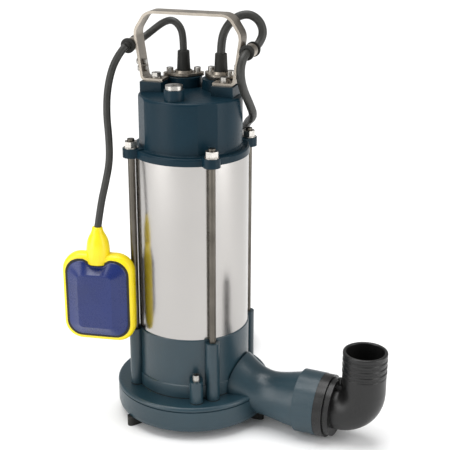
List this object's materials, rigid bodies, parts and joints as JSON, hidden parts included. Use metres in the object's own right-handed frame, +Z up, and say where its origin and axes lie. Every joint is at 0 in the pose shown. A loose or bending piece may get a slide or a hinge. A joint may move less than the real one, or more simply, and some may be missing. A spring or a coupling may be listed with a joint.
{
  "type": "submersible sump pump",
  "caption": "Upright submersible pump with a round steel motor shell, tie rods, ring volute, side discharge elbow with hose tail, carrying handle, float switch and power cord.",
  "frame": {"origin": "on the motor axis, at the level of the floor that the feet stand on", "axes": "+Z up along the motor axis, +X along the discharge neck"},
  "size_m": [0.4038, 0.3324, 0.4745],
  "materials": {
    "casting_blue": "satin enamel over cast iron",
    "shell_steel": "brushed stainless",
    "fastener_steel": "plain stainless",
    "strip_steel": "rolled stainless strip",
    "machined_steel": "ground steel",
    "impeller_iron": "as cast",
    "core_steel": "laminations",
    "winding_copper": "lacquered wire",
    "black_plastic": "moulded",
    "black_rubber": "moulded",
    "cord_rubber": "smooth sheath",
    "float_yellow": "moulded",
    "float_blue": "moulded",
    "ball_plastic": "moulded",
    "seal_ceramic": "lapped ceramic",
    "pin_brass": "polished"
  },
  "bodies": {
    "pump": {"capacitor": "black_plastic", "clip_bands": "strip_steel", "clip_bushes": "black_rubber", "clip_screws": "fastener_steel", "discharge_gasket": "black_rubber", "end_windings": "winding_copper", "feet": "black_rubber", "filler_plug": "fastener_steel", "float_cord_clipped": "cord_rubber", "float_cord_sleeve": "black_rubber", "float_gland_plate": "strip_steel", "gland_gaskets": "black_rubber", "gland_screws": "fastener_steel", "handle": "strip_steel", "handle_bolts": "fastener_steel", "housing_bolts": "fastener_steel", "lock_ring": "black_plastic", "lower_bearing_outer_race": "machined_steel", "lower_bracket": "casting_blue", "lower_housing": "casting_blue", "mains_plug": "black_rubber", "mains_plug_pins": "pin_brass", "motor_shell": "shell_steel", "power_cord_coil": "cord_rubber", "power_cord_end": "cord_rubber", "power_cord_run": "cord_rubber", "power_cord_sleeve": "black_rubber", "power_gland_plate": "strip_steel", "seal_seat": "seal_ceramic", "shell_seal_rings": "black_rubber", "stator_core": "core_steel", "suction_plate": "casting_blue", "suction_screws": "fastener_steel", "terminal_block": "black_plastic", "tie_rod_nuts": "fastener_steel", "tie_rod_washers": "fastener_steel", "tie_rods": "fastener_steel", "top_cover": "casting_blue", "upper_bearing_outer_race": "machined_steel", "upper_bracket": "casting_blue", "volute_casing": "casting_blue", "volute_gasket": "black_rubber"},
    "rotor": {"shaft": "machined_steel", "rotor_core": "core_steel", "impeller": "impeller_iron", "cutter_blade": "machined_steel", "cutter_bolt": "fastener_steel", "lower_bearing_inner_race": "machined_steel", "upper_bearing_inner_race": "machined_steel", "seal_head": "machined_steel", "seal_spring": "machined_steel"},
    "lower_balls": {"lower_bearing_balls": "machined_steel"},
    "upper_balls": {"upper_bearing_balls": "machined_steel"},
    "elbow": {"discharge_elbow": "black_plastic"},
    "float": {"float_case": "float_yellow", "float_faces": "float_blue", "ball_cage": "ball_plastic", "micro_switch": "black_plastic", "float_cord_hanging": "cord_rubber"},
    "ball": {"switch_ball": "machined_steel"}
  },
  "joints": [
    {"name": "rotor_spin", "type": "hinge", "parent": "pump", "child": "rotor", "pos_m": [0, 0, 0.2], "axis": [0, 0, 1], "continuous": true},
    {"name": "lower_balls_spin", "type": "hinge", "parent": "pump", "child": "lower_balls", "pos_m": [0, 0, 0.109], "axis": [0, 0, 1], "continuous": true},
    {"name": "upper_balls_spin", "type": "hinge", "parent": "pump", "child": "upper_balls", "pos_m": [0, 0, 0.298], "axis": [0, 0, 1], "continuous": true},
    {"name": "elbow_swivel", "type": "hinge", "parent": "pump", "child": "elbow", "pos_m": [0.17, 0, 0.037], "axis": [1, 0, 0], "range_deg": [-90, 90]},
    {"name": "float_swing", "type": "hinge", "parent": "pump", "child": "float", "pos_m": [-0.06594, -0.02603, 0.4356], "axis": [-0.9945, -0.1045, 0], "range_deg": [0, 100]},
    {"name": "ball_roll", "type": "slide", "parent": "float", "child": "ball", "axis": [0, 0, 1], "range_m": [0, 0.018]}
  ],
  "couplings": [
    {"joint": "lower_balls_spin", "follows": "rotor_spin", "ratio": 0.4},
    {"joint": "upper_balls_spin", "follows": "rotor_spin", "ratio": 0.3932}
  ]
}
